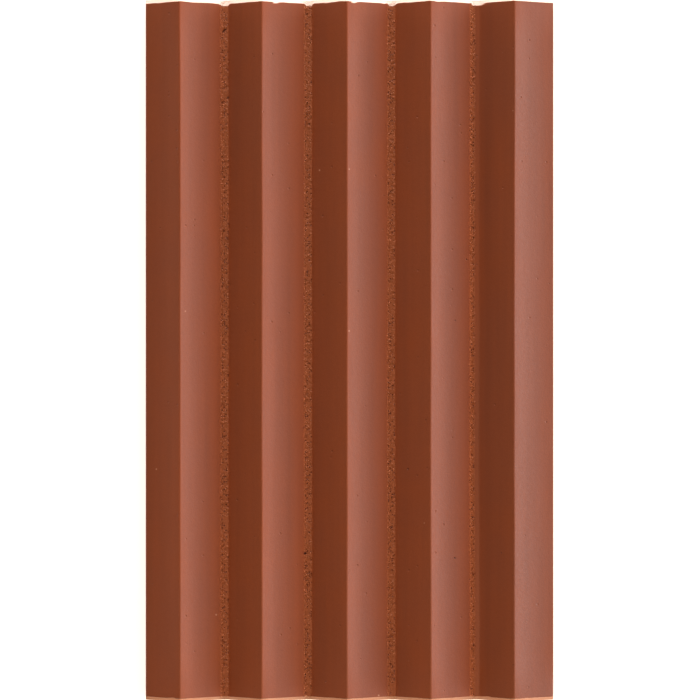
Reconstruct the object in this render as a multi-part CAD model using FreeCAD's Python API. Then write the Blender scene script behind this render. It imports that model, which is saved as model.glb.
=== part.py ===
import FreeCAD, Part
import math
import os

from FreeCAD import Vector

os.makedirs("parts", exist_ok=True)

# One pressed porcelain tile, lying on its back with the ribbed face up.
# Millimetres. The ribs run along Y, the back lies on Z = 0, the middle is on X = Y = 0.

rib_count = 5
rib_width = 33.5          # one triangular rib, from foot to foot
joint_width = 4.0         # the mock joint between two ribs
tile_length = 315.0       # along the ribs
foot_height = 9.5         # from the back to the foot of the ribs
rib_rise = 8.5            # from the foot to the ridge, if the ridge were sharp
ridge_shifts = (0.9, 1.8, 1.2, 1.3, 1.5)  # each ridge, from the middle of its rib toward -X
ridge_radius = 0.9        # the rounded ridge
face_hollow = 0.7         # the two slopes of a rib are hollow by this much halfway up
joint_depth = 0.8         # the joint's floor below the foot
joint_draft = 0.6         # the joint's walls lean by this much, so that the press lets go
side_bevel = 0.7          # along the two long sides
end_bevel = 1.35          # along the two ends

tile_width = rib_count * rib_width + (rib_count - 1) * joint_width
pitch = rib_width + joint_width


def slopeSide(footX, footZ, ridgeX, ridgeZ):
    """One hollow slope: its middle point, and how steep it is at the ridge."""
    run = ridgeX - footX
    rise = ridgeZ - footZ
    chord = math.hypot(run, rise)
    side = 1.0 if run > 0 else -1.0
    steeper = 2.0 * math.atan(2.0 * face_hollow / chord)
    angle = math.atan2(rise, abs(run)) + steeper
    middle = (
        (footX + ridgeX) / 2.0 + side * face_hollow * rise / chord,
        (footZ + ridgeZ) / 2.0 - face_hollow * abs(run) / chord,
    )
    return middle, angle


def ribOutline(left, right, foot, shift):
    """The face of one rib from foot to foot: hollow slope, rounded ridge, hollow slope."""
    ridgeX = (left + right) / 2.0 - shift
    ridgeZ = foot + rib_rise
    upMiddle, upAngle = slopeSide(left, foot, ridgeX, ridgeZ)
    downMiddle, downAngle = slopeSide(right, foot, ridgeX, ridgeZ)
    reach = ridge_radius * math.tan((upAngle + downAngle) / 2.0)
    start = (ridgeX - reach * math.cos(upAngle), ridgeZ - reach * math.sin(upAngle))
    end = (ridgeX + reach * math.cos(downAngle), ridgeZ - reach * math.sin(downAngle))
    centreX = start[0] + ridge_radius * math.sin(upAngle)
    centreZ = start[1] - ridge_radius * math.cos(upAngle)
    turn = (downAngle - upAngle) / 2.0
    crown = (centreX + ridge_radius * math.sin(turn), centreZ + ridge_radius * math.cos(turn))
    return upMiddle, start, crown, end, downMiddle


def crossSection(y, drop):
    """The closed outline across the ribs at this Y, its face lowered by drop."""
    foot = foot_height - drop
    half = tile_width / 2.0
    edges = []
    pen = [Vector(-half, y, 0.0)]

    def lineTo(x, z):
        target = Vector(x, y, z)
        edges.append(Part.makeLine(pen[0], target))
        pen[0] = target

    def arcTo(middle, end):
        target = Vector(end[0], y, end[1])
        arc = Part.Arc(pen[0], Vector(middle[0], y, middle[1]), target)
        edges.append(arc.toShape())
        pen[0] = target

    lineTo(-half, foot - side_bevel)
    for index in range(rib_count):
        left = -half + index * pitch
        right = left + rib_width
        if index == 0:
            left = left + side_bevel
        if index == rib_count - 1:
            right = right - side_bevel
        lineTo(left, foot)
        shift = ridge_shifts[index % len(ridge_shifts)]
        upMiddle, start, crown, end, downMiddle = ribOutline(left, right, foot, shift)
        arcTo(upMiddle, start)
        arcTo(crown, end)
        arcTo(downMiddle, (right, foot))
        if index < rib_count - 1:
            lineTo(right + joint_draft, foot - joint_depth)
            lineTo(right + joint_width - joint_draft, foot - joint_depth)
    lineTo(half, foot - side_bevel)
    lineTo(half, 0.0)
    lineTo(-half, 0.0)
    return Part.Wire(edges)


halfLength = tile_length / 2.0
sections = [
    crossSection(-halfLength, end_bevel),
    crossSection(-halfLength + end_bevel, 0.0),
    crossSection(halfLength - end_bevel, 0.0),
    crossSection(halfLength, end_bevel),
]
body = Part.makeLoft(sections, True, True)
if body.Volume < 0:
    body.reverse()

print("width", round(tile_width, 3), "length", tile_length)
print("valid", body.isValid(), "solids", len(body.Solids), "faces", len(body.Faces))
print("volume cm3", round(body.Volume / 1000.0, 2))
box = body.BoundBox
print("box", [round(v, 3) for v in (box.XMin, box.YMin, box.ZMin, box.XMax, box.YMax, box.ZMax)])

body.exportStep("parts/ribbed_tile.step")
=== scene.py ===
import math

import bpy
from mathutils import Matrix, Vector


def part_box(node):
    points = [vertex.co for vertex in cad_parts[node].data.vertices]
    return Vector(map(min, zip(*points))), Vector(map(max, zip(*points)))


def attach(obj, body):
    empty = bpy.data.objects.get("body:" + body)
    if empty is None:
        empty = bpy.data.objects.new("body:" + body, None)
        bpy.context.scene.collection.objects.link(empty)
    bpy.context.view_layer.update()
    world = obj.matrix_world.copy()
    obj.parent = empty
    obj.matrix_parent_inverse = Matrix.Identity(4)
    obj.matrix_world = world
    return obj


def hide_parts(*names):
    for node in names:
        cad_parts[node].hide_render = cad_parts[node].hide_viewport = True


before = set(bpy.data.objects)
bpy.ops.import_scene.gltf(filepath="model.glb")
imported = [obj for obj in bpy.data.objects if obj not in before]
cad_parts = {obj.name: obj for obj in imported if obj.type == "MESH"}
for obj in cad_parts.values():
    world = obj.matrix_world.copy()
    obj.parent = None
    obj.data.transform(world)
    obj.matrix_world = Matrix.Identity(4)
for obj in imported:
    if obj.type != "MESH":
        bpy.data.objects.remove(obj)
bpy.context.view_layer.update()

low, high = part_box("ribbed_tile")
print("frame loaded, tile box", [round(v, 4) for v in low], [round(v, 4) for v in high])


# the tile, in millimetres, seeds included
tileLook = {
    "ribCount": 5,
    "ribWidth": 33.5,
    "jointWidth": 4.0,
    "footHeight": 9.5,
    "ribRise": 8.5,
    "ridgeShift1": 0.9,
    "ridgeShift2": 1.8,
    "ridgeShift3": 1.2,
    "ridgeShift4": 1.3,
    "ridgeShift5": 1.5,
    "ridgeSoftness": 1.0,
    "faceHollow": 0.32,
    "jointDepth": 0.55,
    "grainHeight": 0.56,
    "grainSize": 1.0,
    "jointWobble": 0.45,
    "wander": 0.3,
    "endBevel": 1.35,
    "sideBevel": 0.4,
    "endSkew": 0.4,
    "chipDepth": 0.8,
    "seed": 7.0,
}

# middle, half length, half width and turn of each flaw
flawPlaces = {
    "tear": (-56.3, 143.8, 1.6, 0.55, math.radians(48.0)),
    "pit": (-20.0, -91.5, 0.9, 0.7, 0.0),
    "brokenCorner": (-90.6, -156.2, 0.9, 0.8, 0.6),
    "smallPit": (-54.6, 113.6, 0.8, 0.6, 0.3),
}

# how much painted light and painted shade change the clay's colour from place to place
paintedLightLook = {
    "leftFoot": -0.07,
    "besideJoint": 0.26,
    "midSlope": -0.06,
    "rightFoot": 0.23,
    "lastRibLeft": -0.1,
    "lastRibRight": -0.12,
    "farEnd": 0.1,
    "jointLip": 0.11,
    "lastJointLip": 0.16,
}


class TreeSketch:
    # small helper for building node trees by hand
    def __init__(self, tree):
        self.tree = tree

    def node(self, kind, **settings):
        made = self.tree.nodes.new(kind)
        for key, value in settings.items():
            setattr(made, key, value)
        return made

    def wire(self, value, socket):
        if hasattr(value, "is_output"):
            self.tree.links.new(value, socket)
        else:
            socket.default_value = value

    def math(self, operation, *values):
        made = self.node("ShaderNodeMath", operation=operation)
        for value, socket in zip(values, made.inputs):
            self.wire(value, socket)
        return made.outputs[0]

    def add(self, *values):
        total = values[0]
        for value in values[1:]:
            total = self.math("ADD", total, value)
        return total

    def mul(self, *values):
        total = values[0]
        for value in values[1:]:
            total = self.math("MULTIPLY", total, value)
        return total

    def sub(self, a, b):
        return self.math("SUBTRACT", a, b)

    def ramp(self, value, fromLow, fromHigh, toLow=0.0, toHigh=1.0, smooth=False):
        made = self.node("ShaderNodeMapRange", clamp=True)
        made.interpolation_type = "SMOOTHSTEP" if smooth else "LINEAR"
        for item, socket in zip((value, fromLow, fromHigh, toLow, toHigh), made.inputs):
            self.wire(item, socket)
        return made.outputs[0]

    def combine(self, x, y, z):
        made = self.node("ShaderNodeCombineXYZ")
        for value, socket in zip((x, y, z), made.inputs):
            self.wire(value, socket)
        return made.outputs[0]

    def separate(self, vector):
        made = self.node("ShaderNodeSeparateXYZ")
        self.wire(vector, made.inputs[0])
        return made.outputs

    def noise(self, vector, scale, detail=2.0, roughness=0.5):
        made = self.node("ShaderNodeTexNoise")
        self.wire(vector, made.inputs["Vector"])
        self.wire(scale, made.inputs["Scale"])
        made.inputs["Detail"].default_value = detail
        made.inputs["Roughness"].default_value = roughness
        return made.outputs[0]


def buildTileTree():
    tree = bpy.data.node_groups.new("ribbedTile", "GeometryNodeTree")
    face = tree.interface
    sockets = {}

    def ask(name, kind, default):
        item = face.new_socket(name, in_out="INPUT", socket_type=kind)
        if default is not None:
            item.default_value = default
        sockets[name] = item.identifier

    ask("Rib Count", "NodeSocketInt", 5)
    ask("Length", "NodeSocketFloat", 315.0)
    for key in tileLook:
        if key != "ribCount":
            ask(key, "NodeSocketFloat", tileLook[key])
    ask("Material", "NodeSocketMaterial", None)
    face.new_socket("Geometry", in_out="OUTPUT", socket_type="NodeSocketGeometry")

    s = TreeSketch(tree)
    given = s.node("NodeGroupInput").outputs
    ribWidth = given["ribWidth"]
    jointWidth = given["jointWidth"]
    foot = given["footHeight"]
    count = given["Rib Count"]
    length = given["Length"]

    # grid columns of one rib with its joint, and of the joint alone
    perPitch = 29
    jointColumns = 10
    columns = s.sub(s.mul(count, perPitch), jointColumns)
    rowCount = 630

    grid = s.node("GeometryNodeMeshGrid")
    s.wire(columns, grid.inputs["Size X"])
    grid.inputs["Size Y"].default_value = rowCount
    s.wire(s.add(columns, 1.0), grid.inputs["Vertices X"])
    grid.inputs["Vertices Y"].default_value = rowCount + 1

    where = s.separate(s.node("GeometryNodeInputPosition").outputs[0])
    column = s.add(where[0], s.mul(columns, 0.5))
    rib = s.math("MINIMUM", s.math("FLOOR", s.math("DIVIDE", s.add(column, 0.25), perPitch)),
                 s.sub(count, 1.0))
    local = s.sub(column, s.mul(rib, perPitch))

    # each ridge has its own offset
    shifts = [s.mul(s.math("COMPARE", rib, float(index), 0.1), given["ridgeShift" + str(index + 1)])
              for index in range(5)]
    ridgeX = s.sub(s.mul(ribWidth, 0.5), s.add(*shifts))

    # columns of one rib and one joint, and how much width each run of columns takes
    runs = [
        (2, 0.8),
        (5, s.sub(ridgeX, 1.4)),
        (4, 1.2),
        (6, s.sub(s.sub(ribWidth, ridgeX), 1.4)),
        (2, 0.8),
        (jointColumns, jointWidth),
    ]

    # across the rib
    across = 0.0
    done = 0
    for cells, width in runs:
        across = s.add(s.ramp(local, done, done + cells, 0.0, width), across)
        done += cells
    pitch = s.add(ribWidth, jointWidth)
    halfWidth = s.mul(s.sub(s.mul(count, pitch), jointWidth), 0.5)
    flatX = s.sub(s.add(s.mul(rib, pitch), across), halfWidth)

    # along the rib, with closer rows at both ends
    rowAway = s.math("ABSOLUTE", where[1])
    rowSide = s.math("SIGN", where[1])
    halfRows = rowCount / 2
    halfLength = s.mul(length, 0.5)
    flatY = s.mul(rowSide, s.add(
        s.ramp(rowAway, 0.0, halfRows - 8, 0.0, s.sub(halfLength, 2.0)),
        s.ramp(rowAway, halfRows - 8, halfRows, 0.0, 2.0)))

    seed = given["seed"]
    onFace = s.combine(flatX, flatY, seed)
    drift = s.combine(s.mul(flatX, 0.02), s.mul(flatY, 0.011), seed)
    driftValue = s.sub(s.noise(drift, 1.0, 1.0), 0.5)

    # one signed distance from the middle of the nearest joint, far away where there is none
    toRight = s.add(s.sub(s.sub(across, ribWidth), s.mul(jointWidth, 0.5)),
                    s.mul(s.ramp(rib, s.sub(count, 1.5), s.sub(count, 1.4)), -100.0))
    toLeft = s.add(s.add(across, s.mul(jointWidth, 0.5)), s.ramp(rib, 0.4, 0.5, 100.0, 0.0))
    nearLeft = s.math("LESS_THAN", s.math("ABSOLUTE", toLeft), s.math("ABSOLUTE", toRight))
    signed = s.add(toRight, s.mul(nearLeft, s.sub(toLeft, toRight)))
    wobbleNoise = s.noise(s.combine(s.mul(flatX, 0.5), flatY, s.add(seed, 11.0)), 0.8, 3.0)
    wobble = s.mul(s.sub(wobbleNoise, 0.5), given["jointWobble"], 2.0)
    patchNoise = s.noise(s.combine(s.mul(flatX, 0.3), flatY, s.add(seed, 23.0)), 0.07, 2.0)
    patchy = s.ramp(patchNoise, 0.3, 0.62, 0.45, 1.0)
    half = s.mul(jointWidth, 0.5)
    leftWall = s.ramp(signed, s.sub(s.mul(half, -1.0), s.add(-0.2, wobble)), s.add(s.mul(half, -1.0), 1.3),
                      smooth=True)
    jointIndex = s.sub(rib, nearLeft)
    lastJoint = s.math("COMPARE", jointIndex, s.sub(count, 2.0), 0.1)
    wallEnd = s.add(half, 0.85, wobble, s.mul(lastJoint, 1.5))
    rightWall = s.ramp(signed, wallEnd, s.sub(wallEnd, 1.5), smooth=True)
    inJoint = s.mul(leftWall, rightWall)
    grainLeft = s.sub(s.mul(half, -1.0), s.add(wobble, 0.1, s.mul(lastJoint, 0.4)))
    grainRight = s.sub(s.add(half, wobble), s.mul(lastJoint, 1.5))
    gritty = s.mul(s.ramp(signed, grainLeft, s.add(grainLeft, 0.7), smooth=True),
                   s.ramp(signed, grainRight, s.sub(grainRight, 0.6), smooth=True))

    # height of the face
    fromEnd = s.sub(halfLength, s.math("ABSOLUTE", flatY))
    hollow = s.mul(given["faceHollow"], s.ramp(fromEnd, 0.0, 22.0, 0.35, 1.0, smooth=True))

    def slope(reach):
        sag = s.mul(hollow, reach, s.sub(1.0, reach))
        return s.mul(given["ribRise"], s.sub(reach, sag))

    up = slope(s.math("DIVIDE", across, ridgeX))
    down = slope(s.math("DIVIDE", s.sub(ribWidth, across), s.sub(ribWidth, ridgeX)))
    rise = s.math("SMOOTH_MIN", up, down, given["ridgeSoftness"])
    rise = s.math("MAXIMUM", rise, 0.0)
    grainNoise = s.sub(s.noise(onFace, s.math("DIVIDE", 1.0, given["grainSize"]), 3.0, 0.6), 0.5)
    grain = s.mul(grainNoise, given["grainHeight"], 3.0, gritty, patchy)
    waveSpot = s.combine(s.mul(flatX, 0.28), s.mul(flatY, 0.02), s.add(seed, 5.0))
    wave = s.mul(s.sub(s.noise(waveSpot, 1.0, 2.0), 0.5), 0.16)
    skin = s.mul(s.sub(s.noise(onFace, 0.3, 2.0), 0.5), 0.05)

    # bevels and chips
    fromSide = s.sub(halfWidth, s.math("ABSOLUTE", flatX))
    ragged = s.noise(s.combine(flatX, s.mul(rowSide, 40.0), seed), 0.35, 3.0)
    chips = s.ramp(ragged, 0.62, 0.78, 0.0, given["chipDepth"])
    farEnd = s.ramp(rowSide, -0.1, 0.1)
    lowness = s.ramp(s.math("DIVIDE", rise, given["ribRise"]), 0.0, 1.0, 0.1, 0.0)
    skew = s.add(lowness, s.ramp(flatX, s.mul(halfWidth, -1.0), halfWidth, given["endSkew"], 0.0))
    bevelRun = s.add(given["endBevel"], s.mul(s.sub(ragged, 0.5), 0.5), chips,
                     s.mul(inJoint, farEnd), s.mul(skew, farEnd),
                     s.ramp(farEnd, 0.0, 1.0, 0.3, 0.0))
    endDrop = s.mul(s.ramp(fromEnd, 0.0, bevelRun, 1.0, 0.0), s.add(given["endBevel"], s.mul(chips, 0.5)))
    sideDrop = s.ramp(fromSide, 0.0, given["sideBevel"], given["sideBevel"], 0.0)
    rawEnd = s.ramp(fromEnd, s.add(bevelRun, 0.1), s.sub(bevelRun, 0.12))

    # a tear, two pits and a broken corner
    def flaw(atX, atY, long, wide, turned):
        awayX = s.sub(flatX, atX)
        awayY = s.sub(flatY, atY)
        along = s.add(s.mul(awayX, math.cos(turned)), s.mul(awayY, math.sin(turned)))
        aslant = s.sub(s.mul(awayY, math.cos(turned)), s.mul(awayX, math.sin(turned)))
        far = s.add(s.math("POWER", s.math("DIVIDE", along, long), 2.0),
                    s.math("POWER", s.math("DIVIDE", aslant, wide), 2.0))
        return s.ramp(far, 1.0, 0.25)

    flaws = s.add(*[flaw(*place) for place in flawPlaces.values()])

    height = s.add(foot, rise, s.mul(flaws, -0.45), s.mul(inJoint, given["jointDepth"], -1.0),
                   grain, wave, skin, s.mul(endDrop, -1.0), s.mul(sideDrop, -1.0), -0.16)

    # the whole plan wanders a little, but never past the edges
    calm = s.mul(s.ramp(fromSide, 0.0, 8.0), given["wander"], 2.0)
    finalX = s.add(flatX, s.mul(driftValue, calm))
    placed = s.node("GeometryNodeSetPosition")

    def keep(geometry, name, value):
        store = s.node("GeometryNodeStoreNamedAttribute", data_type="FLOAT", domain="POINT")
        s.wire(geometry, store.inputs["Geometry"])
        store.inputs["Name"].default_value = name
        s.wire(value, store.inputs["Value"])
        return store.outputs[0]

    body = grid.outputs["Mesh"]

    # painted light and shade: deeper at the foot of the left slopes, paler at the foot of the right ones
    # and beside the joints, deeper mid-slope and on the last rib
    climbed = s.math("DIVIDE", rise, given["ribRise"])
    onRight = s.math("GREATER_THAN", across, ridgeX)
    lastRib = s.math("COMPARE", rib, s.sub(count, 1.0), 0.1)
    besideJoint = s.ramp(signed, s.add(half, -0.2), s.add(half, 1.4, s.mul(lastJoint, 2.2)),
                         paintedLightLook["besideJoint"], 0.0)
    leftFoot = s.ramp(climbed, 0.0, 0.35, paintedLightLook["leftFoot"], 0.0)
    leftPaintedShading = s.add(s.mul(s.add(leftFoot, besideJoint), s.ramp(rib, 0.4, 0.5)),
                     s.mul(lastRib, paintedLightLook["lastRibLeft"]))
    midSlope = s.mul(s.ramp(climbed, 0.1, 0.45, 0.0, paintedLightLook["midSlope"]),
                     s.ramp(climbed, 0.6, 0.95, 1.0, 0.0))
    rightFoot = s.ramp(climbed, 0.02, 0.34, paintedLightLook["rightFoot"], 0.0, smooth=True)
    rightPaintedShading = s.add(s.mul(s.sub(1.0, lastRib), rightFoot),
                      s.mul(lastRib, paintedLightLook["lastRibRight"]), midSlope)
    # painted light: paler towards the far end
    farEndPaintedLight = s.ramp(s.sub(halfLength, flatY), 0.0, 26.0, paintedLightLook["farEnd"], 0.0)
    toneAndPaintedLight = s.add(leftPaintedShading, s.mul(onRight, s.sub(rightPaintedShading, leftPaintedShading)), farEndPaintedLight)

    body = keep(body, "joint", gritty)
    # stores the painted light and shade for the clay material
    body = keep(body, "toneAndPaintedLight", toneAndPaintedLight)
    body = keep(body, "flaw", flaws)
    # painted highlight on the left lip of each joint, stronger at the last joint
    lipAmount = s.add(paintedLightLook["jointLip"], s.mul(lastJoint, paintedLightLook["lastJointLip"]))
    lipPaintedHighlight = s.mul(s.ramp(signed, -2.9, -1.9, 0.0, lipAmount),
                    s.ramp(signed, -1.6, 0.2, 1.0, 0.0, smooth=True))
    body = keep(body, "lip", lipPaintedHighlight)
    body = keep(body, "raw", rawEnd)
    # marks the far end's raw band for a painted highlight
    body = keep(body, "farEndHighlight", s.mul(rawEnd, farEnd))
    # the height fraction drives painted shade by height in the material
    body = keep(body, "climb", climbed)
    body = keep(body, "top", height)
    s.wire(body, placed.inputs["Geometry"])
    s.wire(s.combine(finalX, flatY, height), placed.inputs["Position"])
    body = placed.outputs[0]

    # sides: the open border is pulled down in rings
    rings = [(0.78, 0.0), (0.5, 0.0), (0.25, 0.0), (0.05, 0.0), (0.0, 0.5)]
    lastRing = None
    for index, (level, inset) in enumerate(rings):
        border = s.node("GeometryNodeInputMeshEdgeNeighbors")
        isBorder = s.node("FunctionNodeCompare", data_type="INT", operation="EQUAL")
        s.wire(border.outputs[0], isBorder.inputs[2])
        isBorder.inputs[3].default_value = 1
        pull = s.node("GeometryNodeExtrudeMesh", mode="EDGES")
        s.wire(body, pull.inputs["Mesh"])
        s.wire(isBorder.outputs[0], pull.inputs["Selection"])
        pull.inputs["Offset Scale"].default_value = 0.0
        move = s.node("GeometryNodeSetPosition")
        s.wire(pull.outputs["Mesh"], move.inputs["Geometry"])
        s.wire(pull.outputs["Top"], move.inputs["Selection"])
        spot = s.separate(s.node("GeometryNodeInputPosition").outputs[0])
        top = s.node("GeometryNodeInputNamedAttribute", data_type="FLOAT")
        top.inputs["Name"].default_value = "top"
        shrinkX = s.math("DIVIDE", s.sub(halfWidth, inset), halfWidth)
        shrinkY = s.math("DIVIDE", s.sub(halfLength, inset), halfLength)
        goal = s.combine(s.mul(spot[0], shrinkX), s.mul(spot[1], shrinkY), s.mul(top.outputs[0], level))
        s.wire(goal, move.inputs["Position"])
        body = move.outputs[0]
        for name, value in (("raw", 1.0), ("farEndHighlight", 0.0)):
            mark = s.node("GeometryNodeStoreNamedAttribute", data_type="FLOAT", domain="POINT")
            s.wire(body, mark.inputs["Geometry"])
            s.wire(pull.outputs["Top"], mark.inputs["Selection"])
            mark.inputs["Name"].default_value = name
            mark.inputs["Value"].default_value = value
            body = mark.outputs[0]
        lastRing = pull.outputs["Top"]

    # the back closes the body
    rim = s.node("GeometryNodeMeshToCurve")
    s.wire(body, rim.inputs["Mesh"])
    s.wire(lastRing, rim.inputs["Selection"])
    fill = s.node("GeometryNodeFillCurve")
    s.wire(rim.outputs[0], fill.inputs["Curve"])
    flip = s.node("GeometryNodeFlipFaces")
    s.wire(fill.outputs[0], flip.inputs["Mesh"])
    back = keep(flip.outputs[0], "raw", 1.0)
    join = s.node("GeometryNodeJoinGeometry")
    s.wire(back, join.inputs[0])
    s.wire(body, join.inputs[0])
    weld = s.node("GeometryNodeMergeByDistance")
    s.wire(join.outputs[0], weld.inputs["Geometry"])
    weld.inputs["Distance"].default_value = 0.002

    toMetres = s.node("GeometryNodeTransform")
    s.wire(weld.outputs[0], toMetres.inputs["Geometry"])
    toMetres.inputs["Scale"].default_value = (0.001, 0.001, 0.001)
    smooth = s.node("GeometryNodeSetShadeSmooth")
    s.wire(toMetres.outputs[0], smooth.inputs["Geometry"])
    turn = s.node("GeometryNodeInputMeshEdgeAngle").outputs[0]
    jointHere = s.node("GeometryNodeInputNamedAttribute", data_type="FLOAT")
    jointHere.inputs["Name"].default_value = "joint"
    crisp = s.mul(s.math("GREATER_THAN", turn, math.radians(32.0)),
                  s.math("LESS_THAN", jointHere.outputs[0], 0.2))
    crease = s.node("GeometryNodeSetShadeSmooth", domain="EDGE")
    s.wire(smooth.outputs[0], crease.inputs["Geometry"])
    s.wire(crisp, crease.inputs["Selection"])
    crease.inputs["Shade Smooth"].default_value = False
    real = s.node("GeometryNodeRealizeInstances")
    s.wire(crease.outputs[0], real.inputs["Geometry"])
    paint = s.node("GeometryNodeSetMaterial")
    s.wire(real.outputs[0], paint.inputs["Geometry"])
    s.wire(given["Material"], paint.inputs["Material"])
    result = s.node("NodeGroupOutput")
    s.wire(paint.outputs[0], result.inputs[0])
    return tree, sockets


# fired clay, colours in scene linear
clayLook = {
    "body": (0.195, 0.036, 0.006, 1.0),
    "warm": (0.205, 0.037, 0.0045, 1.0),
    "pink": (0.188, 0.0375, 0.009, 1.0),
    "joint": (0.246, 0.0595, 0.0175, 1.0),
    # the dark colour below is painted shade in the joint's holes
    "jointPitShade": (0.1, 0.014, 0.003, 1.0),
    "jointLight": (0.44, 0.135, 0.055, 1.0),
    # the dark colour below is painted shade in the tear, pits and broken corner
    "flaw": (0.07, 0.01, 0.002, 1.0),
    "rawClay": (0.52, 0.25, 0.16, 1.0),
    # the pale colour below is a painted highlight on the far end's raw band
    "farEndHighlightClay": (0.8, 0.57, 0.48, 1.0),
    # the colour below serves the dark specks and the painted shade in the dimples
    "darkSpeckAndDimpleShade": (0.06, 0.014, 0.006, 1.0),
    "speckLight": (0.5, 0.25, 0.16, 1.0),
    "roughness": 0.56,
    "specular": 0.41,
    "grainBump": 0.00012,
}


def buildClay():
    material = bpy.data.materials.new("firedClay")
    material.use_nodes = True
    tree = material.node_tree
    tree.nodes.clear()
    s = TreeSketch(tree)
    spot = s.node("ShaderNodeTexCoord").outputs["Object"]
    xyz = s.separate(spot)

    def read(name):
        return s.node("ShaderNodeAttribute", attribute_name=name).outputs["Fac"]

    def blend(amount, a, b):
        made = s.node("ShaderNodeMix", data_type="RGBA")
        s.wire(amount, made.inputs[0])
        s.wire(a, made.inputs[6])
        s.wire(b, made.inputs[7])
        return made.outputs[2]

    joint = read("joint")
    raw = read("raw")

    mottle = s.ramp(s.noise(spot, 60.0, 3.0), 0.35, 0.65)
    blush = s.ramp(s.noise(spot, 25.0, 2.0), 0.4, 0.7)
    colour = blend(mottle, clayLook["body"], clayLook["warm"])
    colour = blend(s.mul(blush, 0.6), colour, clayLook["pink"])

    # faint lengthwise streaks and a fine tooth
    streakSpot = s.combine(xyz[0], s.mul(xyz[1], 0.03), xyz[2])
    streak = s.noise(streakSpot, 420.0, 3.0, 0.55)
    tooth = s.noise(spot, 1500.0, 3.0, 0.65)
    band = s.noise(s.combine(xyz[0], s.mul(xyz[1], 0.04), 0.3), 130.0, 2.0, 0.5)
    # painted shade and light by height: darker at the foot of each slope, lighter towards the ridge; the
    # lip and stored attributes add more painted light and shade
    climb = s.ramp(read("climb"), 0.0, 0.9, -0.05, 0.03)
    lip = read("lip")
    toneAndPaintedLight = s.add(s.ramp(streak, 0.3, 0.7, 0.965, 1.035), s.ramp(tooth, 0.25, 0.75, -0.07, 0.07),
                 s.ramp(band, 0.3, 0.7, -0.035, 0.035), climb, lip, read("toneAndPaintedLight"))

    # the joint's crumbs and holes, on a ground of its own: a grain of light and dark spots, with painted
    # shade in the holes and a painted highlight on the crumbs' middles
    crumbCell = s.node("ShaderNodeTexVoronoi")
    s.wire(spot, crumbCell.inputs["Vector"])
    crumbCell.inputs["Scale"].default_value = 1150.0
    crumbTop = s.ramp(crumbCell.outputs["Distance"], 0.5, 0.2)
    crumbLuck = s.separate(crumbCell.outputs["Color"])[0]
    crumbs = s.mul(crumbTop, s.ramp(crumbLuck, 0.5, 0.75))
    holes = s.mul(crumbTop, s.ramp(crumbLuck, 0.45, 0.2))
    gritColour = blend(s.mul(crumbs, 0.9), clayLook["joint"], clayLook["jointLight"])
    gritColour = blend(s.mul(holes, 0.95), gritColour, clayLook["jointPitShade"])
    colour = blend(s.ramp(joint, 0.1, 0.7, 0.0, 0.85), colour, gritColour)
    shade = s.node("ShaderNodeVectorMath", operation="SCALE")
    s.wire(colour, shade.inputs[0])
    s.wire(toneAndPaintedLight, shade.inputs["Scale"])
    colour = shade.outputs[0]

    # sparse specks
    def specks(scale, reach, rarity):
        cell = s.node("ShaderNodeTexVoronoi")
        s.wire(spot, cell.inputs["Vector"])
        cell.inputs["Scale"].default_value = scale
        near = s.ramp(cell.outputs["Distance"], reach, reach * 0.4)
        pick = s.separate(cell.outputs["Color"])[0]
        return s.mul(near, s.ramp(pick, rarity, rarity + 0.01))

    dimples = specks(260.0, 0.16, 0.86)
    darkSpecks = specks(190.0, 0.09, 0.95)
    lightSpecks = specks(150.0, 0.08, 0.95)
    # painted shade: the dimples are painted slightly darker
    colour = blend(s.mul(dimples, 0.16), colour, clayLook["darkSpeckAndDimpleShade"])
    colour = blend(s.mul(darkSpecks, 0.8), colour, clayLook["darkSpeckAndDimpleShade"])
    colour = blend(s.mul(lightSpecks, 0.6), colour, clayLook["speckLight"])

    # painted shade: the tear, pits and broken corner are painted dark
    colour = blend(s.ramp(read("flaw"), 0.2, 0.7, 0.0, 0.8), colour, clayLook["flaw"])

    # paler clay where the coloured face ends
    smear = s.noise(spot, 260.0, 4.0, 0.6)
    rawMask = s.ramp(s.add(raw, s.mul(s.sub(smear, 0.5), 0.5)), 0.4, 0.6)
    rawClayAndHighlight = blend(s.ramp(smear, 0.3, 0.75, 0.0, 0.45), clayLook["rawClay"], clayLook["jointLight"])
    # painted highlight: the far end's raw band is painted much paler
    rawClayAndHighlight = blend(s.ramp(read("farEndHighlight"), 0.5, 0.8), rawClayAndHighlight, clayLook["farEndHighlightClay"])
    colour = blend(rawMask, colour, rawClayAndHighlight)

    shader = s.node("ShaderNodeBsdfPrincipled")
    s.wire(colour, shader.inputs["Base Color"])
    gloss = s.add(s.ramp(s.noise(spot, 900.0, 2.0), 0.3, 0.7, -0.04, 0.04), s.mul(joint, 0.2),
                  s.mul(rawMask, 0.15), clayLook["roughness"])
    s.wire(gloss, shader.inputs["Roughness"])
    shader.inputs["Specular IOR Level"].default_value = clayLook["specular"]

    relief = s.add(s.mul(tooth, 0.35), s.mul(s.noise(spot, 600.0, 2.0), 0.3),
                   s.mul(s.sub(crumbs, holes), joint, 3.0), s.mul(darkSpecks, -2.5),
                   s.mul(dimples, -1.2), s.mul(rawMask, smear, 1.5))
    bump = s.node("ShaderNodeBump")
    bump.inputs["Strength"].default_value = 1.0
    bump.inputs["Distance"].default_value = clayLook["grainBump"]
    s.wire(relief, bump.inputs["Height"])
    s.wire(bump.outputs[0], shader.inputs["Normal"])
    out = s.node("ShaderNodeOutputMaterial")
    s.wire(shader.outputs[0], out.inputs["Surface"])
    return material


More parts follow.
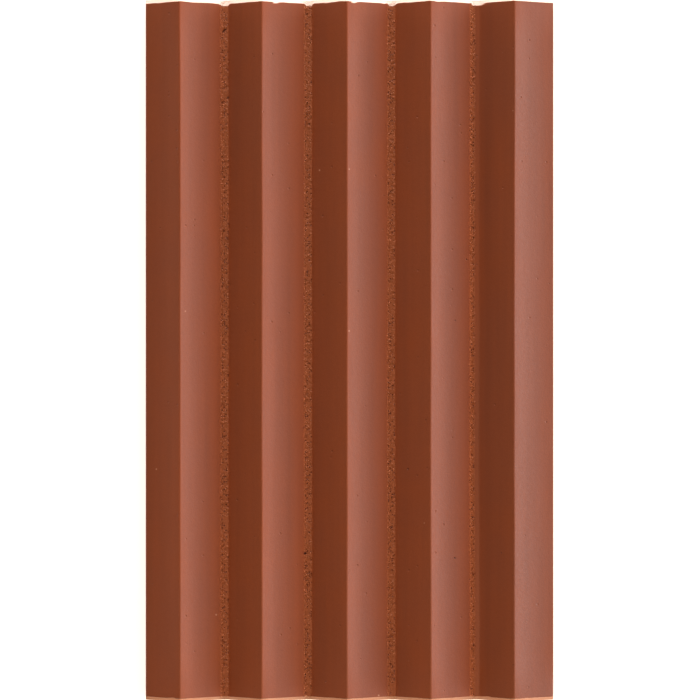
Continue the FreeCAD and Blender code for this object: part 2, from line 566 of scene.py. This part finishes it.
def bakeToMesh(name, tree, sockets, values):
    holderMesh = bpy.data.meshes.new(name + "Start")
    holder = bpy.data.objects.new(name + "Start", holderMesh)
    bpy.context.scene.collection.objects.link(holder)
    modifier = holder.modifiers.new("nodes", "NODES")
    modifier.node_group = tree
    for key, value in values.items():
        modifier[sockets[key]] = value
    holder.update_tag()
    bpy.context.view_layer.update()
    evaluated = holder.evaluated_get(bpy.context.evaluated_depsgraph_get())
    mesh = bpy.data.meshes.new_from_object(evaluated)
    mesh.name = name
    bpy.data.objects.remove(holder)
    piece = bpy.data.objects.new(name, mesh)
    bpy.context.scene.collection.objects.link(piece)
    return piece


clay = buildClay()
tileTree, tileSockets = buildTileTree()
tileValues = {"Rib Count": tileLook["ribCount"], "Length": (high[1] - low[1]) * 1000.0, "Material": clay}
for key in tileLook:
    if key != "ribCount":
        tileValues[key] = tileLook[key]
tile = bakeToMesh("tile_body", tileTree, tileSockets, tileValues)
triangles = sum(len(p.vertices) - 2 for p in tile.data.polygons)
print("tile made:", len(tile.data.vertices), "vertices", triangles, "triangles")
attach(tile, "root")
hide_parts("ribbed_tile")


# floor and lights
studioLook = {
    "floorColour": (0.93, 0.93, 0.93, 1.0),
    "floorGlow": 0.5,
    "skyStrength": 0.1,
    "rightLight": 604.0,
    "leftLight": 61.0,
    "farEndLight": 42.0,
    "nearEndLight": 19.0,
    "warmTint": (1.0, 0.79, 0.52),
}

floorMesh = bpy.data.meshes.new("floor")
reach = 8.0
floorMesh.from_pydata([(-reach, -reach, 0), (reach, -reach, 0), (reach, reach, 0), (-reach, reach, 0)], [],
                      [(0, 1, 2, 3)])
floor = bpy.data.objects.new("floor", floorMesh)
bpy.context.scene.collection.objects.link(floor)
floorMaterial = bpy.data.materials.new("paleFloor")
floorMaterial.use_nodes = True
floorShader = floorMaterial.node_tree.nodes["Principled BSDF"]
floorShader.inputs["Base Color"].default_value = studioLook["floorColour"]
floorShader.inputs["Roughness"].default_value = 0.9
floorShader.inputs["Specular IOR Level"].default_value = 0.1
floorShader.inputs["Emission Color"].default_value = (1.0, 1.0, 1.0, 1.0)
floorShader.inputs["Emission Strength"].default_value = studioLook["floorGlow"]
floorMesh.materials.append(floorMaterial)

world = bpy.data.worlds.new("sky")
world.use_nodes = True
sky = world.node_tree.nodes["Background"]
sky.inputs["Color"].default_value = (1.0, 1.0, 1.0, 1.0)
sky.inputs["Strength"].default_value = studioLook["skyStrength"]
bpy.context.scene.world = world


def softLight(name, azimuth, elevation, distance, width, height, power, tint=(1.0, 1.0, 1.0)):
    lamp = bpy.data.lights.new(name, "AREA")
    lamp.shape = "RECTANGLE"
    lamp.size = width
    lamp.size_y = height
    lamp.energy = power
    lamp.color = tint
    holder = bpy.data.objects.new(name, lamp)
    a = math.radians(azimuth)
    e = math.radians(elevation)
    holder.location = (distance * math.cos(e) * math.cos(a), distance * math.cos(e) * math.sin(a),
                       distance * math.sin(e))
    holder.rotation_mode = "QUATERNION"
    holder.rotation_quaternion = holder.location.to_track_quat("Z", "Y")
    bpy.context.scene.collection.objects.link(holder)


softLight("rightLight", 0.0, 13.5, 6.0, 5.2, 2.8, studioLook["rightLight"])
softLight("leftLight", 180.0, 14.0, 6.0, 5.2, 2.7, studioLook["leftLight"], studioLook["warmTint"])
softLight("farEndLight", 90.0, 11.0, 1.7, 1.2, 0.5, studioLook["farEndLight"])
softLight("nearEndLight", 270.0, 60.0, 1.7, 1.2, 1.2, studioLook["nearEndLight"], studioLook["warmTint"])
print("stage made")


# camera straight above the tile
cameraLook = {"height": 1.23, "acrossAtFoot": 0.3149, "footHeight": 0.0095, "aside": 0.00018}
cameraData = bpy.data.cameras.new("camera")
cameraData.sensor_width = 36.0
cameraData.lens = 36.0 * (cameraLook["height"] - cameraLook["footHeight"]) / cameraLook["acrossAtFoot"]
cameraData.dof.use_dof = False
cameraData.clip_start = 0.01
cameraData.clip_end = 50.0
camera = bpy.data.objects.new("camera", cameraData)
camera.location = (cameraLook["aside"], 0.0, cameraLook["height"])
bpy.context.scene.collection.objects.link(camera)
bpy.context.scene.camera = camera
bpy.context.scene.view_settings.view_transform = "Standard"
bpy.context.scene.view_settings.look = "None"
